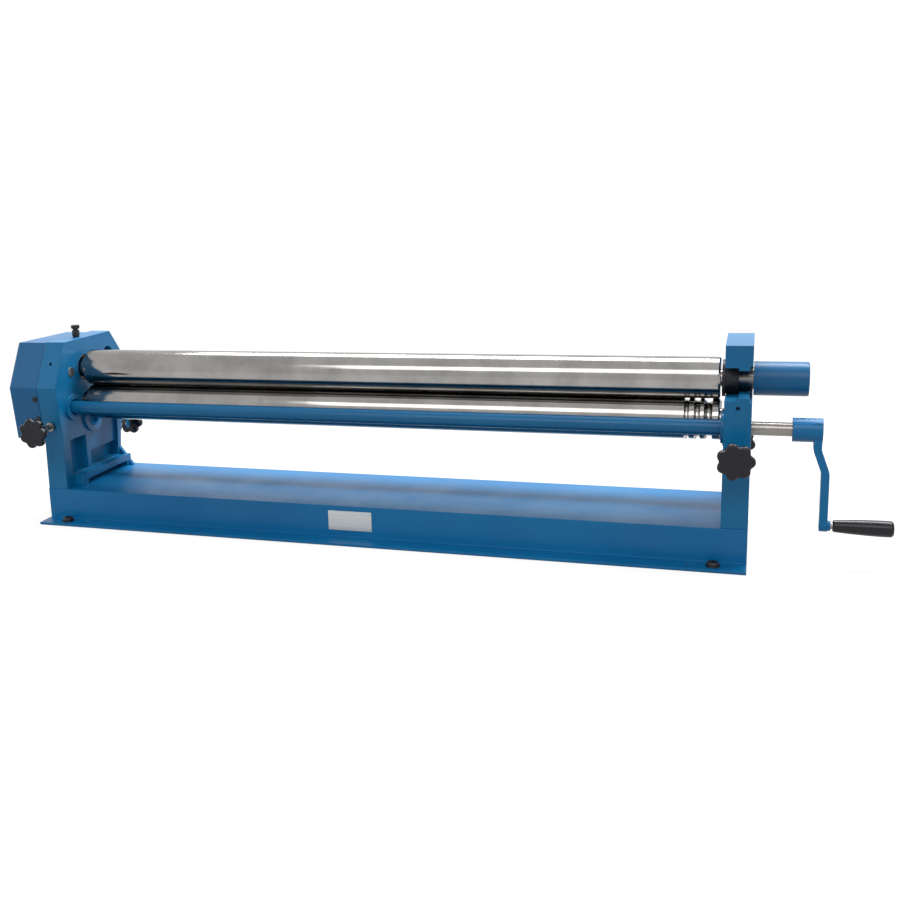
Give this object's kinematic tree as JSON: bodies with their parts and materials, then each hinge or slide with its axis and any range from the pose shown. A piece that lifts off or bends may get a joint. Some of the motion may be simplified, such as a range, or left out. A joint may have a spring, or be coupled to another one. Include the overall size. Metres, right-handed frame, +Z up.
{
  "type": "slip roll machine",
  "caption": "Bench slip roll with two geared front rolls, an adjustable rear bending roll, a swing-out upper roll and a hand crank",
  "frame": {"origin": "centre of the bed's four plain mounting holes, on the underside of its flanges", "axes": "+X along the rolls towards the crank, -Y the front (infeed) side, +Z up"},
  "size_m": [1.7215, 0.396, 0.403],
  "materials": {
    "blue_paint": "glossy enamel",
    "roll_steel": "ground and polished",
    "bright_steel": "machined",
    "gear_steel": "machined and oiled",
    "bronze": "machined",
    "black_steel": "black oxide",
    "black_plastic": "moulded"
  },
  "bodies": {
    "frame": {"bed_channel": "blue_paint", "base_bolts": "black_steel", "frame_bolts": "black_steel", "data_plate": "bright_steel", "left_frame": "blue_paint", "right_frame": "blue_paint", "head_plug": "bright_steel", "grease_cup_body": "bright_steel", "gear_cover": "blue_paint", "cover_screws": "black_steel", "keeper_left": "gear_steel", "keeper_right": "gear_steel", "head_screws": "black_steel", "seat_ring": "bronze", "bearing_cap": "gear_steel", "idler_stud": "bright_steel"},
    "grease_cap": {"grease_cup_cap": "bright_steel"},
    "upper_swing": {"ball_bush": "bronze", "end_carrier": "bright_steel", "seat_bush": "black_steel"},
    "clamp": {"clamp_collar": "bright_steel"},
    "sleeve": {"release_sleeve": "blue_paint"},
    "upper_roll": {"upper_roll": "roll_steel", "upper_roll_nut": "bright_steel"},
    "upper_drive": {"upper_drive_stub": "bright_steel", "drive_cross_pin": "bright_steel", "upper_gear": "gear_steel", "upper_gear_key": "bright_steel", "upper_gear_nut": "bright_steel"},
    "lower_carriage": {"front_block_left": "bronze", "front_block_right": "bronze"},
    "lower_roll": {"lower_roll": "roll_steel", "lower_gear": "gear_steel", "lower_gear_nut": "bright_steel"},
    "front_wedge_left": {"front_wedge_left": "gear_steel"},
    "front_wedge_right": {"front_wedge_right": "gear_steel"},
    "front_adjust_left": {"front_screw_left": "bright_steel", "front_knob_left": "black_plastic"},
    "front_adjust_right": {"front_screw_right": "bright_steel", "front_knob_right": "black_plastic"},
    "rear_carriage": {"rear_block_left": "bronze", "rear_block_right": "bronze"},
    "rear_roll": {"rear_roll": "roll_steel"},
    "rear_wedge_left": {"rear_wedge_left": "gear_steel"},
    "rear_wedge_right": {"rear_wedge_right": "gear_steel"},
    "rear_adjust_left": {"rear_screw_left": "bright_steel", "rear_knob_left": "black_plastic"},
    "rear_adjust_right": {"rear_screw_right": "bright_steel", "rear_knob_right": "black_plastic"},
    "drive_line": {"drive_shaft": "bright_steel", "drive_tube": "blue_paint", "drive_pinion": "gear_steel", "pinion_key": "bright_steel", "pinion_nut": "bright_steel", "crank_arm": "blue_paint", "hub_set_screw": "bright_steel", "grip_spindle": "bright_steel"},
    "idler": {"idler_gear": "gear_steel"},
    "grip": {"crank_grip": "black_plastic"}
  },
  "joints": [
    {"name": "lower_slide", "type": "slide", "parent": "frame", "child": "lower_carriage", "axis": [0, 0, 1], "range_m": [-0.004, 0]},
    {"name": "lower_spin", "type": "hinge", "parent": "lower_carriage", "child": "lower_roll", "pos_m": [0, -0.008, 0.2383], "axis": [1, 0, 0], "continuous": true},
    {"name": "upper_drive_spin", "type": "hinge", "parent": "frame", "child": "upper_drive", "pos_m": [0, -0.008, 0.3137], "axis": [1, 0, 0], "continuous": true},
    {"name": "upper_swing", "type": "hinge", "parent": "frame", "child": "upper_swing", "pos_m": [-0.685, -0.008, 0.3137], "axis": [0, 0.0698, 0.9976], "range_deg": [-8, 0]},
    {"name": "upper_spin", "type": "hinge", "parent": "upper_swing", "child": "upper_roll", "pos_m": [0, -0.008, 0.3137], "axis": [1, 0, 0], "continuous": true},
    {"name": "sleeve_turn", "type": "hinge", "parent": "upper_swing", "child": "sleeve", "pos_m": [0, -0.008, 0.3137], "axis": [1, 0, 0], "range_deg": [0, 720]},
    {"name": "clamp_slide", "type": "slide", "parent": "upper_swing", "child": "clamp", "axis": [1, 0, 0], "range_m": [-0.0054, 0]},
    {"name": "drive_spin", "type": "hinge", "parent": "frame", "child": "drive_line", "pos_m": [0, -0.069, 0.2364], "axis": [1, 0, 0], "continuous": true},
    {"name": "idler_spin", "type": "hinge", "parent": "frame", "child": "idler", "pos_m": [0, -0.06443, 0.28569], "axis": [1, 0, 0], "continuous": true},
    {"name": "grip_spin", "type": "hinge", "parent": "drive_line", "child": "grip", "pos_m": [0.893, -0.069, 0.068], "axis": [1, 0, 0], "continuous": true},
    {"name": "rear_slide", "type": "slide", "parent": "frame", "child": "rear_carriage", "axis": [0, 0, 1], "range_m": [0, 0.038]},
    {"name": "rear_spin", "type": "hinge", "parent": "rear_carriage", "child": "rear_roll", "pos_m": [0, 0.09, 0.2152], "axis": [1, 0, 0], "continuous": true},
    {"name": "grease_cap_turn", "type": "hinge", "parent": "frame", "child": "grease_cap", "pos_m": [-0.685, 0.002, 0.397], "axis": [0, 0, 1], "range_deg": [-360, 0]},
    {"name": "front_wedge_slide_left", "type": "slide", "parent": "frame", "child": "front_wedge_left", "axis": [0, 1, 0], "range_m": [-0.02, 0]},
    {"name": "front_knob_turn_left", "type": "hinge", "parent": "frame", "child": "front_adjust_left", "pos_m": [-0.685, -0.185, 0.204], "axis": [0, -1, 0], "range_deg": [-1800, 0]},
    {"name": "rear_wedge_slide_left", "type": "slide", "parent": "frame", "child": "rear_wedge_left", "axis": [0, 1, 0], "range_m": [0, 0.038]},
    {"name": "rear_knob_turn_left", "type": "hinge", "parent": "frame", "child": "rear_adjust_left", "pos_m": [-0.685, 0.195, 0.15], "axis": [0, -1, 0], "range_deg": [0, 3420]},
    {"name": "front_wedge_slide_right", "type": "slide", "parent": "frame", "child": "front_wedge_right", "axis": [0, 1, 0], "range_m": [-0.02, 0]},
    {"name": "front_knob_turn_right", "type": "hinge", "parent": "frame", "child": "front_adjust_right", "pos_m": [0.685, -0.185, 0.204], "axis": [0, -1, 0], "range_deg": [-1800, 0]},
    {"name": "rear_wedge_slide_right", "type": "slide", "parent": "frame", "child": "rear_wedge_right", "axis": [0, 1, 0], "range_m": [0, 0.038]},
    {"name": "rear_knob_turn_right", "type": "hinge", "parent": "frame", "child": "rear_adjust_right", "pos_m": [0.685, 0.195, 0.15], "axis": [0, -1, 0], "range_deg": [0, 3420]}
  ],
  "couplings": [
    {"joint": "upper_drive_spin", "follows": "lower_spin", "ratio": -1},
    {"joint": "upper_spin", "follows": "lower_spin", "ratio": -1},
    {"joint": "drive_spin", "follows": "lower_spin", "ratio": -1.5625},
    {"joint": "idler_spin", "follows": "lower_spin", "ratio": 1.4706},
    {"joint": "clamp_slide", "follows": "sleeve_turn", "m_per_rad": -0.0004297},
    {"joint": "front_wedge_slide_left", "follows": "lower_slide", "ratio": 5},
    {"joint": "front_knob_turn_left", "follows": "lower_slide", "rad_per_m": 7854},
    {"joint": "rear_wedge_slide_left", "follows": "rear_slide", "ratio": 1},
    {"joint": "rear_knob_turn_left", "follows": "rear_slide", "rad_per_m": 1570.8},
    {"joint": "front_wedge_slide_right", "follows": "lower_slide", "ratio": 5},
    {"joint": "front_knob_turn_right", "follows": "lower_slide", "rad_per_m": 7854},
    {"joint": "rear_wedge_slide_right", "follows": "rear_slide", "ratio": 1},
    {"joint": "rear_knob_turn_right", "follows": "rear_slide", "rad_per_m": 1570.8}
  ]
}
